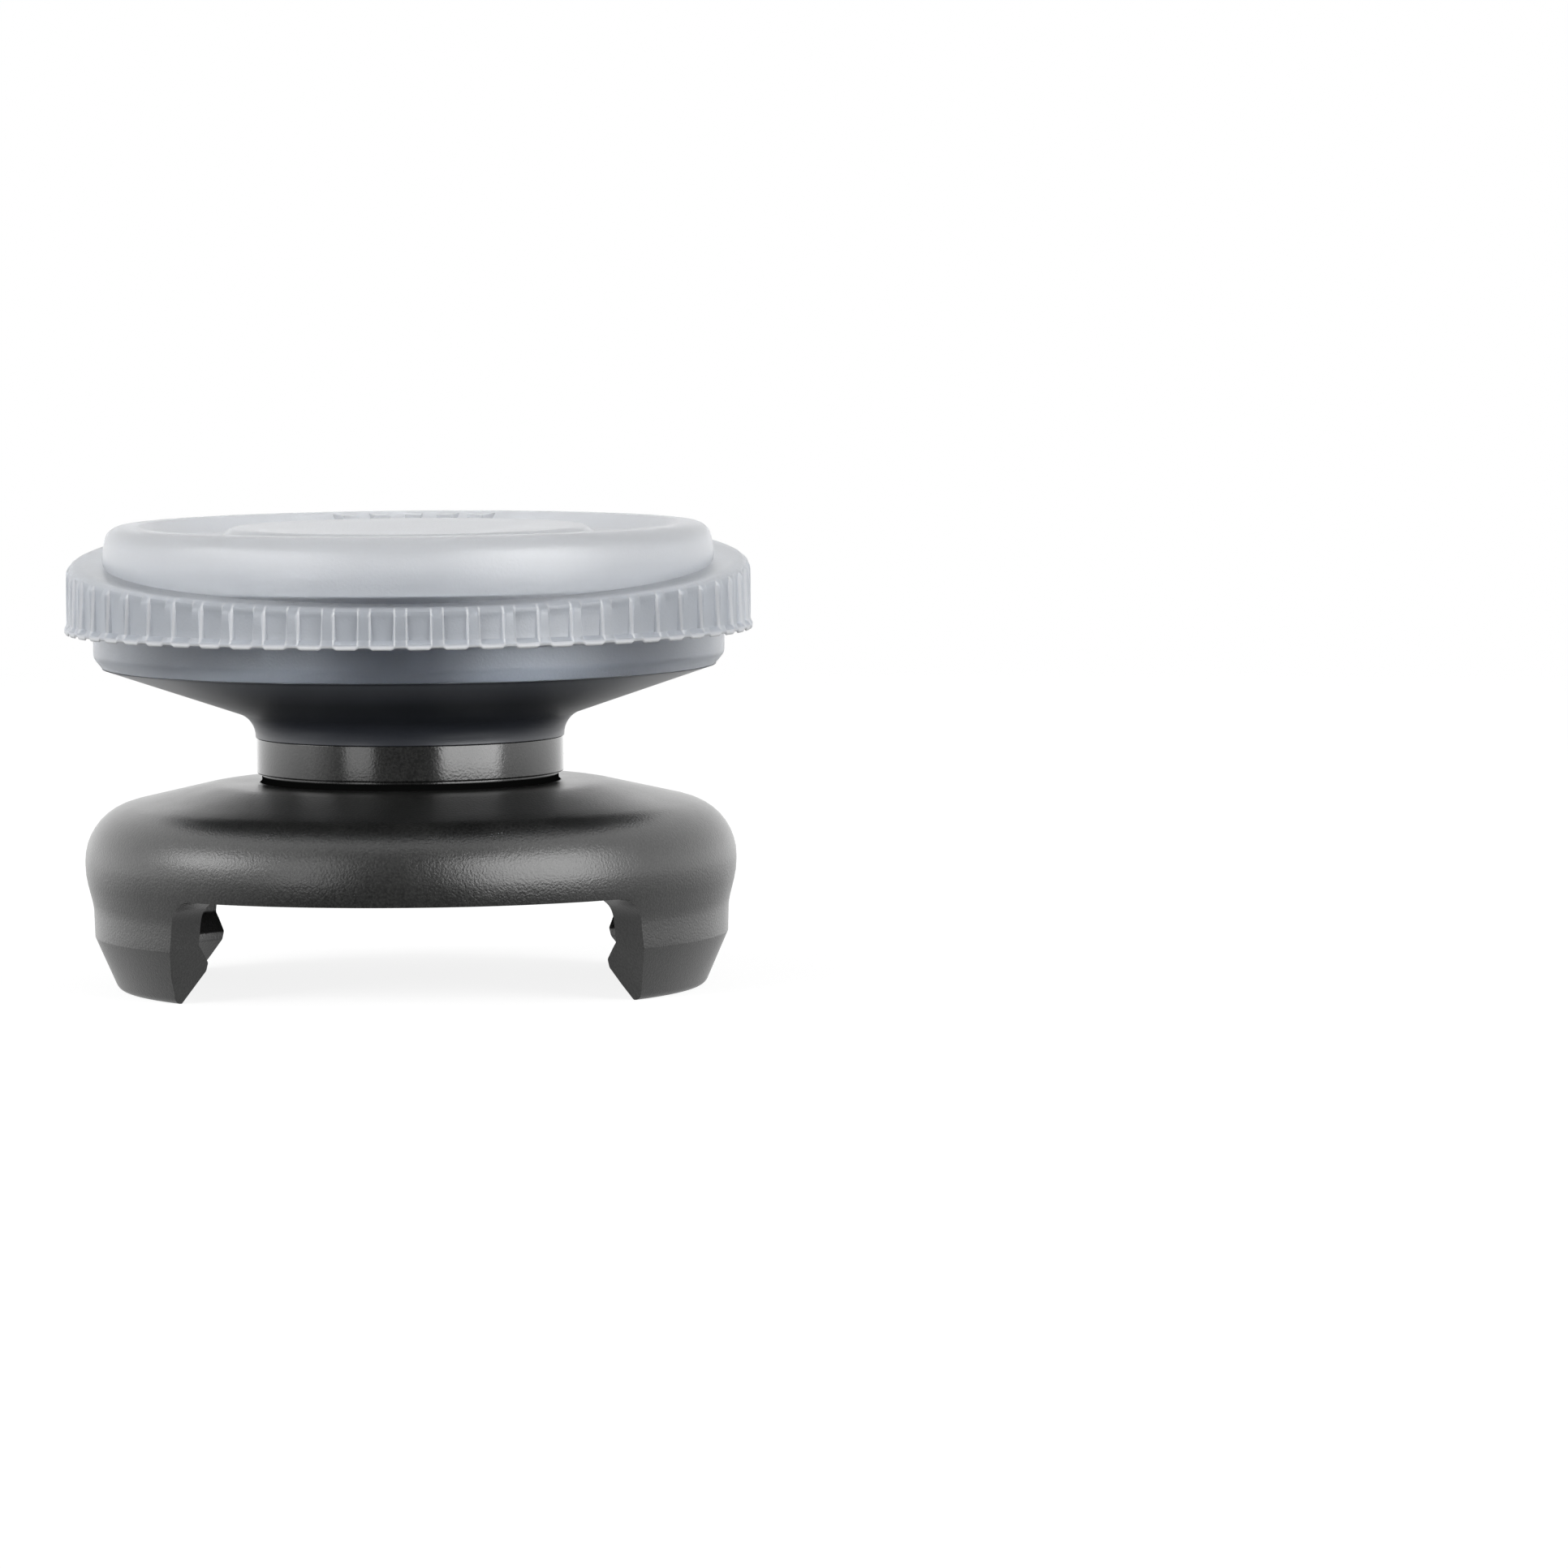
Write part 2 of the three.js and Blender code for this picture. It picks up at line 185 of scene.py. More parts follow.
class Graph:
    """The node tree of one material or world."""

    def __init__(self, owner: bpy.types.Material | bpy.types.World) -> None:
        """Start an empty tree.

        Args:
            owner: The material or world that gets the tree.
        """
        owner.use_nodes = True
        self.tree = owner.node_tree
        self.tree.nodes.clear()

    def node(
        self, kind: str, settings: dict | None = None, inputs: dict | None = None
    ) -> bpy.types.Node:
        """Add a node, set it up, then fill its sockets.

        Args:
            kind: The node's type.
            settings: Its properties, set before its sockets.
            inputs: A number, colour, socket or Value for each socket name or index.

        Returns:
            The new node.
        """
        node = self.tree.nodes.new(kind)
        for name, setting in (settings or {}).items():
            setattr(node, name, setting)
        for key, given in (inputs or {}).items():
            source = given.socket if isinstance(given, Value) else given
            if isinstance(source, Socket):
                self.tree.links.new(source, node.inputs[key])
            else:
                node.inputs[key].default_value = source
        return node

    def value(
        self, kind: str, output: str, settings: dict | None = None, inputs: dict | None = None
    ) -> Value:
        """Add a node and wrap one of its outputs.

        Args:
            kind: The node's type.
            output: The output's name.
            settings: The node's properties.
            inputs: The node's sockets.

        Returns:
            The output, ready for shader maths.
        """
        return Value(self, self.node(kind, settings, inputs).outputs[output])

    def place(self) -> Socket:
        """Give the place on the piece, in metres."""
        return self.node("ShaderNodeTexCoord").outputs["Object"]

    def axes(self, vector: Socket) -> dict[str, Value]:
        """Take a vector apart.

        Args:
            vector: Its socket.

        Returns:
            Its X, Y and Z.
        """
        outputs = self.node("ShaderNodeSeparateXYZ", None, {"Vector": vector}).outputs
        return {name: Value(self, outputs[name]) for name in "XYZ"}

    def length(self, vector: Socket) -> Value:
        """Measure a vector.

        Args:
            vector: Its socket.

        Returns:
            Its length.
        """
        settings = {"operation": "LENGTH"}
        return self.value("ShaderNodeVectorMath", "Value", settings, {0: vector})

    def noise(self, grain_mm: float, detail: float) -> Value:
        """Noise on the piece's own coordinates.

        Args:
            grain_mm: The size of one grain.
            detail: Octaves of finer noise.

        Returns:
            The noise, from 0 to 1.
        """
        inputs = {"Vector": self.place(), "Scale": 1 / (grain_mm * MM), "Detail": detail}
        return self.value("ShaderNodeTexNoise", "Fac", None, inputs)

    def height_mm(self) -> Value:
        """Give the height above the floor, in millimetres."""
        return self.axes(self.place())["Z"] * (1 / MM)

    def radius_mm(self) -> Value:
        """Give the distance from the neck's axis, in millimetres."""
        inputs = {0: self.place(), 1: (1 / MM, 1 / MM, 0)}
        flat = self.node("ShaderNodeVectorMath", {"operation": "MULTIPLY"}, inputs)
        return self.length(flat.outputs[0])

    def turn(self) -> Value:
        """Give the angle about the neck's axis from the front, in turns."""
        axes = self.axes(self.place())
        return (axes["Y"].angle(axes["X"]) - FRONT) * (0.5 / math.pi)

    def ramp(self, value: Value, low: float, high: float, start: float, end: float) -> Value:
        """Map a stretch of a value to another stretch, clamped.

        Args:
            value: What is mapped.
            low: Where the stretch starts.
            high: Where it ends.
            start: The result at low.
            end: The result at high.

        Returns:
            The mapped value.
        """
        inputs = {"Value": value, "From Min": low, "From Max": high, "To Min": start, "To Max": end}
        return self.value("ShaderNodeMapRange", "Result", {"clamp": True}, inputs)

    def blend(self, share: Value, first: Colour, second: Colour) -> Socket:
        """Mix two colours.

        Args:
            share: How much of the second one.
            first: The first colour.
            second: The second colour.

        Returns:
            The mixed colour's socket.
        """
        node = self.node("ShaderNodeMix", {"data_type": "RGBA"}, {"Factor": share})
        for socket, colour in zip(MIX_COLOURS, (first, second)):
            node.inputs[socket].default_value = (*colour, 1)
        return node.outputs[MIX_RESULT]

    def bump(self, height: Value, strength: float, depth_mm: float) -> Socket:
        """Turn a height into a normal.

        Args:
            height: The height, from 0 to 1.
            strength: How much of the bump shows.
            depth_mm: How deep a height of 1 is.

        Returns:
            The normal's socket.
        """
        inputs = {"Height": height, "Strength": strength, "Distance": depth_mm * MM}
        return self.node("ShaderNodeBump", None, inputs).outputs["Normal"]

    def shader(self, kind: str, inputs: dict | None = None) -> Socket:
        """Add a shader.

        Args:
            kind: The node's type, without the word that all of them start with.
            inputs: The node's sockets.

        Returns:
            The shader's socket.
        """
        return self.node("ShaderNode" + kind, None, inputs).outputs[0]

    def mix(
        self,
        share: Value | Socket,
        first: Socket,
        second: Socket,
    ) -> Socket:
        """Mix two shaders.

        Args:
            share: How much of the second one.
            first: The first shader.
            second: The second shader.

        Returns:
            The mixed shader's socket.
        """
        return self.shader("MixShader", {0: share, 1: first, 2: second})

    def finish(self, surface: Socket, output: str = "OutputMaterial") -> None:
        """Send a shader to the output.

        Args:
            surface: The shader's socket.
            output: The output node's type, without the word that all of them start with.
        """
        self.node("ShaderNode" + output, None, {"Surface": surface})


@dataclass(frozen=True)
class SatinPlastic:
    """Rigid plastic with a fine eroded grain, a smoother polished band round the neck, and painted
    shade in the groove under the band.
    """

    name: str = "satin_plastic"
    colour: Colour = (0.003, 0.0031, 0.003)
    worn: Colour = (0.020, 0.0203, 0.0195)
    roughness: float = 0.31
    roughness_swing: float = 0.08
    band_roughness: float = 0.16
    band_low: float = 6.4
    groove_low: float = 6.12
    groove_radius: float = 4.5
    edge: float = 0.05
    ior: float = 1.5
    grain_mm: float = 0.07
    grain_depth_mm: float = 0.017
    patch_mm: float = 1.6
    bump_strength: float = 0.6
    band_smoothing: float = 0.7
    grain_weight: float = 1.5
    patch_weight: float = 0.5
    speckle_low: float = 0.72
    speckle_high: float = 1.28

    def build(self) -> bpy.types.Material:
        """Make the material.

        Returns:
            The finished material.
        """
        material = bpy.data.materials.new(self.name)
        graph = Graph(material)
        grain = graph.noise(self.grain_mm, GRAIN_DETAIL)
        patches = graph.noise(self.patch_mm, PATCH_DETAIL)
        height = graph.height_mm()
        band = graph.ramp(height, self.band_low - self.edge, self.band_low, 0, 1)
        rough = patches.swing(self.roughness, self.roughness_swing)
        rough = rough + band * (self.band_roughness - self.roughness)
        speckle = grain * self.grain_weight + patches * self.patch_weight
        speckle = graph.ramp(speckle, self.speckle_low, self.speckle_high, 0, 1)
        relief = grain * (1 - band * self.band_smoothing)
        satin = graph.shader(
            "BsdfPrincipled",
            {
                "Base Color": graph.blend(speckle, self.colour, self.worn),
                "Roughness": rough,
                "IOR": self.ior,
                "Normal": graph.bump(relief, self.bump_strength, self.grain_depth_mm),
            },
        )
        # Painted shade: the groove under the neck's band gets a plain dark matt shader, so it shows
        # no reflection and reads as shadow.
        shade = graph.shader("BsdfDiffuse", {"Color": (*self.colour, 1)})
        rim = self.groove_radius + self.edge
        inside = graph.ramp(graph.radius_mm(), self.groove_radius, rim, 1, 0)
        above = graph.ramp(height, self.groove_low, self.groove_low + self.edge, 0, 1)
        graph.finish(graph.mix(inside * above * (1 - band), satin, shade))
        return material


@dataclass(frozen=True)
class DarkCore:
    """Smooth blue-black plastic with random paler patches, and a painted highlight on the bowl just
    below the cap's skirt.
    """

    name: str = "dark_core"
    colour: Colour = (0.020, 0.023, 0.030)
    highlight_and_tone: Colour = (0.15, 0.16, 0.185)
    highlight_low: float = 8.8
    highlight_high: float = 9.55
    highlight_end: float = 9.6
    highlight_share: float = 0.85
    patch_share: float = 0.1
    roughness: float = 0.34
    roughness_swing: float = 0.08
    ior: float = 1.5
    patch_mm: float = 2.2
    grain_mm: float = 0.12
    grain_depth_mm: float = 0.003
    bump_strength: float = 0.4

    def build(self) -> bpy.types.Material:
        """Make the material.

        Returns:
            The finished material.
        """
        material = bpy.data.materials.new(self.name)
        graph = Graph(material)
        patches = graph.noise(self.patch_mm, PATCH_DETAIL)
        grain = graph.noise(self.grain_mm, GRAIN_DETAIL)
        height = graph.height_mm()
        # Painted highlight: the bowl's upper edge, just below the cap's skirt, is painted paler and
        # fades out at the skirt. Random patches add a little of the same paler tone all over.
        highlight_and_tone = graph.ramp(height, self.highlight_low, self.highlight_high, 0, self.highlight_share)
        highlight_and_tone = highlight_and_tone * graph.ramp(height, self.highlight_high, self.highlight_end, 1, 0)
        highlight_and_tone = highlight_and_tone + patches * self.patch_share
        dark = graph.shader(
            "BsdfPrincipled",
            {
                "Base Color": graph.blend(highlight_and_tone, self.colour, self.highlight_and_tone),
                "Roughness": patches.swing(self.roughness, self.roughness_swing),
                "IOR": self.ior,
                "Normal": graph.bump(grain, self.bump_strength, self.grain_depth_mm),
            },
        )
        graph.finish(dark)
        return material


@dataclass(frozen=True)
class FrostedElastomer:
    """Soft clear elastomer: frosted, hazy on flange and rim, and darker in the skirt. Its haze has
    painted light towards the top and painted highlight lines on the rib edges and the lip.
    """

    name: str = "frosted_elastomer"
    skirt_tint: Colour = (0.63, 0.67, 0.73)
    milky: Colour = (0.86, 0.89, 0.93)
    haze: Colour = (0.47, 0.50, 0.545)
    painted_light_haze: Colour = (0.635, 0.645, 0.665)
    roughness: float = 0.33
    roughness_swing: float = 0.08
    ior: float = 1.4
    haze_roughness: float = 0.6
    patch_share: float = 0.16
    skirt_top: float = 10.7
    skirt_fade: float = 0.1
    skirt_haze: float = 0.01
    rim_haze: float = 0.42
    rim_start: float = 12.1
    rim_full: float = 13.1
    flange_haze: float = 0.55
    flange_start: float = 9.5
    flange_full: float = 10.0
    ribs: int = 60
    rib_edge: float = 0.165
    rib_highlight_width: float = 0.03
    highlight_line_share: float = 0.8
    highlight_line_haze: float = 0.36
    lip_low: float = 10.76
    lip_high: float = 10.84
    patch_mm: float = 1.3
    grain_mm: float = 0.08
    grain_depth_mm: float = 0.014
    bump_strength: float = 0.5

    def build(self) -> bpy.types.Material:
        """Make the material.

        Returns:
            The finished material.
        """
        material = bpy.data.materials.new(self.name)
        graph = Graph(material)
        patches = graph.noise(self.patch_mm, PATCH_DETAIL)
        grain = graph.noise(self.grain_mm, GRAIN_DETAIL)
        normal = graph.bump(grain, self.bump_strength, self.grain_depth_mm)
        height = graph.height_mm()
        tint = graph.ramp(height, self.skirt_top - self.skirt_fade, self.skirt_top, 0, 1)
        tint = tint * (1 - self.patch_share + patches * self.patch_share)
        clear = graph.shader(
            "BsdfPrincipled",
            {
                "Base Color": graph.blend(tint, self.skirt_tint, self.milky),
                "Roughness": patches.swing(self.roughness, self.roughness_swing),
                "IOR": self.ior,
                "Transmission Weight": 1.0,
                "Normal": normal,
            },
        )
        # Painted light: the haze colour turns lighter towards the rim and the pad, where light from
        # above falls.
        lit_top = graph.ramp(height, self.rim_start, self.rim_full, 0, 1)
        outer = graph.ramp(graph.radius_mm(), self.flange_start, self.flange_full, 0, 1)
        # Painted highlight lines: thin light lines along each rib's edge and round the flange's
        # lip, in the lighter haze colour and with a larger share of haze.
        off_middle = (graph.turn() * self.ribs).ping_pong(0.5)
        off_edge = (off_middle - self.rib_edge).size()
        highlight_lines = graph.ramp(off_edge, self.rib_highlight_width / 2, self.rib_highlight_width, 1, 0) * self.highlight_line_share
        highlight_lines = highlight_lines.larger(graph.ramp(height, self.lip_low, self.lip_high, 1, 0)) * outer
        haze = graph.shader(
            "BsdfPrincipled",
            {
                "Base Color": graph.blend(lit_top.larger(highlight_lines), self.haze, self.painted_light_haze),
                "Roughness": self.haze_roughness,
                "Normal": normal,
            },
        )
        share = graph.ramp(height, self.rim_start, self.rim_full, self.skirt_haze, self.rim_haze)
        share = share.larger(outer * (self.flange_haze + highlight_lines * self.highlight_line_haze))
        graph.finish(graph.mix(share, clear, haze))
        return material


class Slot(Enum):
    """The record's material slots."""

    BASE = "base_plastic"
    CORE = "core_plastic"
    CAP = "cap_elastomer"


@dataclass(frozen=True)
class Corner:
    """A corner of a turned outline, with the fillet that rounds it."""

    radius: float
    height: float
    fillet: float = 0


@dataclass(frozen=True)
class Outline:
    """A turned piece's outline, from its corners."""

    corners: tuple[Corner, ...]
    arc_step: float = math.radians(9)
    room: float = 0.98

    def points(self) -> list[Vector]:
        """Round every corner.

        Returns:
            Points with the radius as x and the height as z.
        """
        places = [Vector((c.radius, c.height)) for c in self.corners]
        reaches = self._reaches(places)
        points = []
        for i, reach in enumerate(reaches):
            points += self._arc(places[i - 1 : i + 2], reach) if reach else [places[i]]
        return [Vector((p.x, 0, p.y)) for p in points]

    def _reaches(self, places: list[Vector]) -> list[float]:
        """Find how far each fillet reaches along its sides.

        Args:
            places: The corners' places.

        Returns:
            The reaches, less than asked for where a side is too short.
        """
        asked = [0.0] * len(places)
        for i, corner in enumerate(self.corners):
            if corner.fillet:
                half = (places[i - 1] - places[i]).angle(places[i + 1] - places[i]) / 2
                asked[i] = corner.fillet / math.tan(half)
        reaches = list(asked)
        for i, reach in enumerate(asked):
            for j in (i - 1, i + 1):
                if reach:
                    side = (places[j] - places[i]).length
                    reaches[i] = min(reaches[i], reach * self.room * side / (reach + asked[j]))
        return reaches

    def _arc(self, places: list[Vector], reach: float) -> list[Vector]:
        """Round one corner.

        Args:
            places: The corner before it, the corner, and the one after it.
            reach: How far the arc reaches along both sides.

        Returns:
            The arc's points.
        """
        before, at, after = places
        back = before - at
        ahead = after - at
        half = back.angle(ahead) / 2
        radius = reach * math.tan(half)
        middle = (back.normalized() + ahead.normalized()).normalized()
        centre = at + middle * (radius / math.sin(half))
        start = at + back.normalized() * reach - centre
        turn = math.copysign(math.pi - 2 * half, ahead.cross(back))
        steps = max(2, math.ceil(abs(turn) / self.arc_step))
        return [centre + Matrix.Rotation(turn * k / steps, 2) @ start for k in range(steps + 1)]


class TurnedPiece:
    """A piece whose body is turned about the neck's axis."""

    name: str
    node: str
    slot: Slot
    steps: int = 240
    longest: float = 0.6
    sharp: float = math.radians(32)
    weld: float = 1e-4

    def outline(self) -> Outline:
        """Give the outline; each piece has its own."""
        raise NotImplementedError

    def shape(self, mesh: bmesh.types.BMesh) -> None:
        """Shape the turned body further; plain pieces leave it as it is."""

    def refined(self) -> list[Vector]:
        """Split long stretches of the outline, so that faces stay small.

        Returns:
            The outline's points, in millimetres.
        """
        points = self.outline().points()
        fine = [points[0]]
        for a, b in zip(points, points[1:]):
            parts = max(1, math.ceil((b - a).length / self.longest))
            fine += [a.lerp(b, (k + 1) / parts) for k in range(parts)]
        return fine

    def turned(self) -> bmesh.types.BMesh:
        """Turn the outline about the axis, starting at the front.

        Returns:
            The closed body, in metres.
        """
        mesh = bmesh.new()
        start = Matrix.Rotation(FRONT, 3, "Z")
        verts = [mesh.verts.new(start @ (p * MM)) for p in self.refined()]
        edges = [mesh.edges.new(pair) for pair in zip(verts, verts[1:])]
        bmesh.ops.spin(
            mesh,
            geom=verts + edges,
            axis=(0, 0, 1),
            cent=(0, 0, 0),
            angle=2 * math.pi,
            steps=self.steps,
            use_merge=True,
        )
        bmesh.ops.remove_doubles(mesh, verts=mesh.verts, dist=self.weld * MM)
        bmesh.ops.recalc_face_normals(mesh, faces=mesh.faces)
        return mesh

    def build(self, material: bpy.types.Material) -> bpy.types.Object:
        """Make the piece, dress it and seat it on the frame.

        Args:
            material: Its finish.

        Returns:
            The finished object.
        """
        mesh = self.turned()
        self.shape(mesh)
        data = bpy.data.meshes.new(self.name)
        mesh.to_mesh(data)
        mesh.free()
        data.materials.append(material)
        piece = bpy.data.objects.new(self.name, data)
        bpy.context.scene.collection.objects.link(piece)
        self.finish(piece)
        for polygon in piece.data.polygons:
            polygon.use_smooth = True
        piece.data.set_sharp_from_angle(angle=self.sharp)
        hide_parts(self.node)
        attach(piece, ROOT)
        LOG.info("%s: %d faces", self.name, len(piece.data.polygons))
        return piece

    def finish(self, piece: bpy.types.Object) -> None:
        """Finish the piece's mesh; plain pieces leave it as it is."""

    def combine(self, piece: bpy.types.Object, mesh: bmesh.types.BMesh, operation: str) -> None:
        """Join another solid to the piece, or cut it out of the piece.

        Args:
            piece: The piece that changes.
            mesh: The other solid, used up here.
            operation: UNION or DIFFERENCE.
        """
        bmesh.ops.recalc_face_normals(mesh, faces=mesh.faces)
        data = bpy.data.meshes.new("other_solid")
        mesh.to_mesh(data)
        mesh.free()
        other = bpy.data.objects.new("other_solid", data)
        bpy.context.scene.collection.objects.link(other)
        step = piece.modifiers.new("combine", "BOOLEAN")
        step.operation = operation
        step.solver = "MANIFOLD"
        step.object = other
        graph = bpy.context.evaluated_depsgraph_get()
        combined = bpy.data.meshes.new_from_object(piece.evaluated_get(graph))
        piece.modifiers.clear()
        piece.data = combined
        piece.data.name = self.name
        bpy.data.objects.remove(other)


@dataclass
class ClipBase(TurnedPiece):
    """Domed base with two clips, a collar and the neck's band."""

    name: str = "base_shell"
    node: str = "clip_base"
    slot: Slot = Slot.BASE
    seat: float = 4.7
    socket_radius: float = 8.4
    hook_radius: float = 7.9
    foot_radius: float = 8.8
    foot_width: float = 0.24
    hook_root: float = 1.75
    hook_top: float = 1.2
    hook_end: float = 0.95
    crease: float = 1.6
    crease_radius: float = 9.5
    waist: float = 2.5
    waist_radius: float = 9.53
    dome_radius: float = 9.77
    bulge_low: float = 3.45
    bulge_high: float = 5.26
    dome_top: float = 6.15
    dome_top_radius: float = 5.9
    collar_radius: float = 4.45
    neck_radius: float = 4.6
    bore_radius: float = 3.1
    bore_bottom: float = 5.3
    collar_top: float = 6.43
    neck_top: float = 7.5
    notch_top: float = 3.15
    notch_top_angle: float = math.radians(46)
    notch_crease_angle: float = math.radians(47.2)
    notch_foot_angle: float = math.radians(50.9)
    notch_fillet: float = 0.7
    ease_width: float = 0.65
    ease_height: float = 0.4
    overrun: float = 1.0
    slices: int = 8

    def outline(self) -> Outline:
        """Give the dome's outline, from the socket's ceiling round to the neck's bore."""
        return Outline(
            (
                Corner(0, self.seat),
                Corner(self.socket_radius, self.seat, 0.3),
                Corner(self.socket_radius, self.hook_root, 0.2),
                Corner(self.hook_radius, self.hook_top, 0.14),
                Corner(self.hook_radius, self.hook_end, 0.14),
                Corner(self.foot_radius - self.foot_width, 0, 0.05),
                Corner(self.foot_radius, 0, 0.3),
                Corner(self.crease_radius, self.crease, 0.15),
                Corner(self.waist_radius, self.waist, 1.5),
                Corner(self.dome_radius, self.bulge_low, 2.4),
                Corner(self.dome_radius, self.bulge_high, 1.75),
                Corner(self.dome_top_radius, self.dome_top, 2.5),
                Corner(self.collar_radius, self.dome_top, 0.12),
                Corner(self.collar_radius, self.collar_top, 0.02),
                Corner(self.neck_radius, self.collar_top, 0.05),
                Corner(self.neck_radius, self.neck_top, 0.03),
                Corner(self.bore_radius, self.neck_top, 0.03),
                Corner(self.bore_radius, self.bore_bottom),
                Corner(0, self.bore_bottom),
            )
        )

    def notch_outline(self) -> Outline:
        """Give a notch's outline, unrolled from the dome's widest ring."""
        slant = (self.notch_foot_angle - self.notch_crease_angle) / self.crease
        low = (self.notch_foot_angle + slant * self.overrun) * self.dome_radius
        bend = self.notch_crease_angle * self.dome_radius
        top = self.notch_top_angle * self.dome_radius
        right = (
            Corner(low, -self.overrun),
            Corner(bend, self.crease, self.notch_fillet),
            Corner(top, self.notch_top - self.ease_height, self.notch_fillet),
            Corner(top - self.ease_width, self.notch_top, self.notch_fillet),
        )
        left = tuple(Corner(-c.radius, c.height, c.fillet) for c in reversed(right))
        return Outline(right + left)

    def notch_cutter(self, side: float) -> bmesh.types.BMesh:
        """Make the wedge that opens one notch; its sides run through the axis.

        Args:
            side: The turn from the front.

        Returns:
            The cutter.
        """
        outer = self.dome_radius + self.overrun
        inner = self.hook_radius * math.cos(self.notch_foot_angle) - self.overrun
        points = self.notch_outline().points()
        mesh = bmesh.new()
        rings = []
        for k in range(self.slices + 1):
            depth = outer + (inner - outer) * k / self.slices
            angles = [p.x / self.dome_radius for p in points]
            places = [
                Vector((depth * math.tan(angle), -depth, p.z)) * MM
                for angle, p in zip(angles, points)
            ]
            verts = [mesh.verts.new(place) for place in places]
            rings.append([mesh.edges.new(pair) for pair in zip(verts, verts[1:] + verts[:1])])
        for near, far in zip(rings, rings[1:]):
            bmesh.ops.bridge_loops(mesh, edges=near + far)
        bmesh.ops.contextual_create(mesh, geom=rings[0])
        bmesh.ops.contextual_create(mesh, geom=rings[-1])
        turn = Matrix.Rotation(side, 3, "Z")
        bmesh.ops.rotate(mesh, verts=mesh.verts, cent=(0, 0, 0), matrix=turn)
        return mesh

    def finish(self, piece: bpy.types.Object) -> None:
        """Cut both notches.

        Args:
            piece: The turned base.
        """
        for side in (0, math.pi):
            self.combine(piece, self.notch_cutter(side), "DIFFERENCE")


@dataclass
class HeadCore(TurnedPiece):
    """Dark core: spigot, flared bowl, and the disc inside the cap."""

    name: str = "core_bowl"
    node: str = "head_core"
    slot: Slot = Slot.CORE
    spigot_radius: float = 3.0
    spigot_end: float = 5.4
    foot_radius: float = 4.63
    foot: float = 7.5
    bend: float = 8.08
    skirt: float = 9.63
    edge_radius: float = 9.2
    disc_radius: float = 8.7
    disc_top: float = 12.2

    def outline(self) -> Outline:
        """Give the core's outline, from the spigot's end up to the disc."""
        return Outline(
            (
                Corner(0, self.spigot_end),
                Corner(self.spigot_radius, self.spigot_end, 0.1),
                Corner(self.spigot_radius, self.foot),
                Corner(self.foot_radius, self.foot, 0.03),
                Corner(self.foot_radius, self.bend, 0.8),
                Corner(self.edge_radius, self.skirt),
                Corner(self.disc_radius, self.skirt),
                Corner(self.disc_radius, self.disc_top, 0.3),
                Corner(0, self.disc_top),
            )
        )


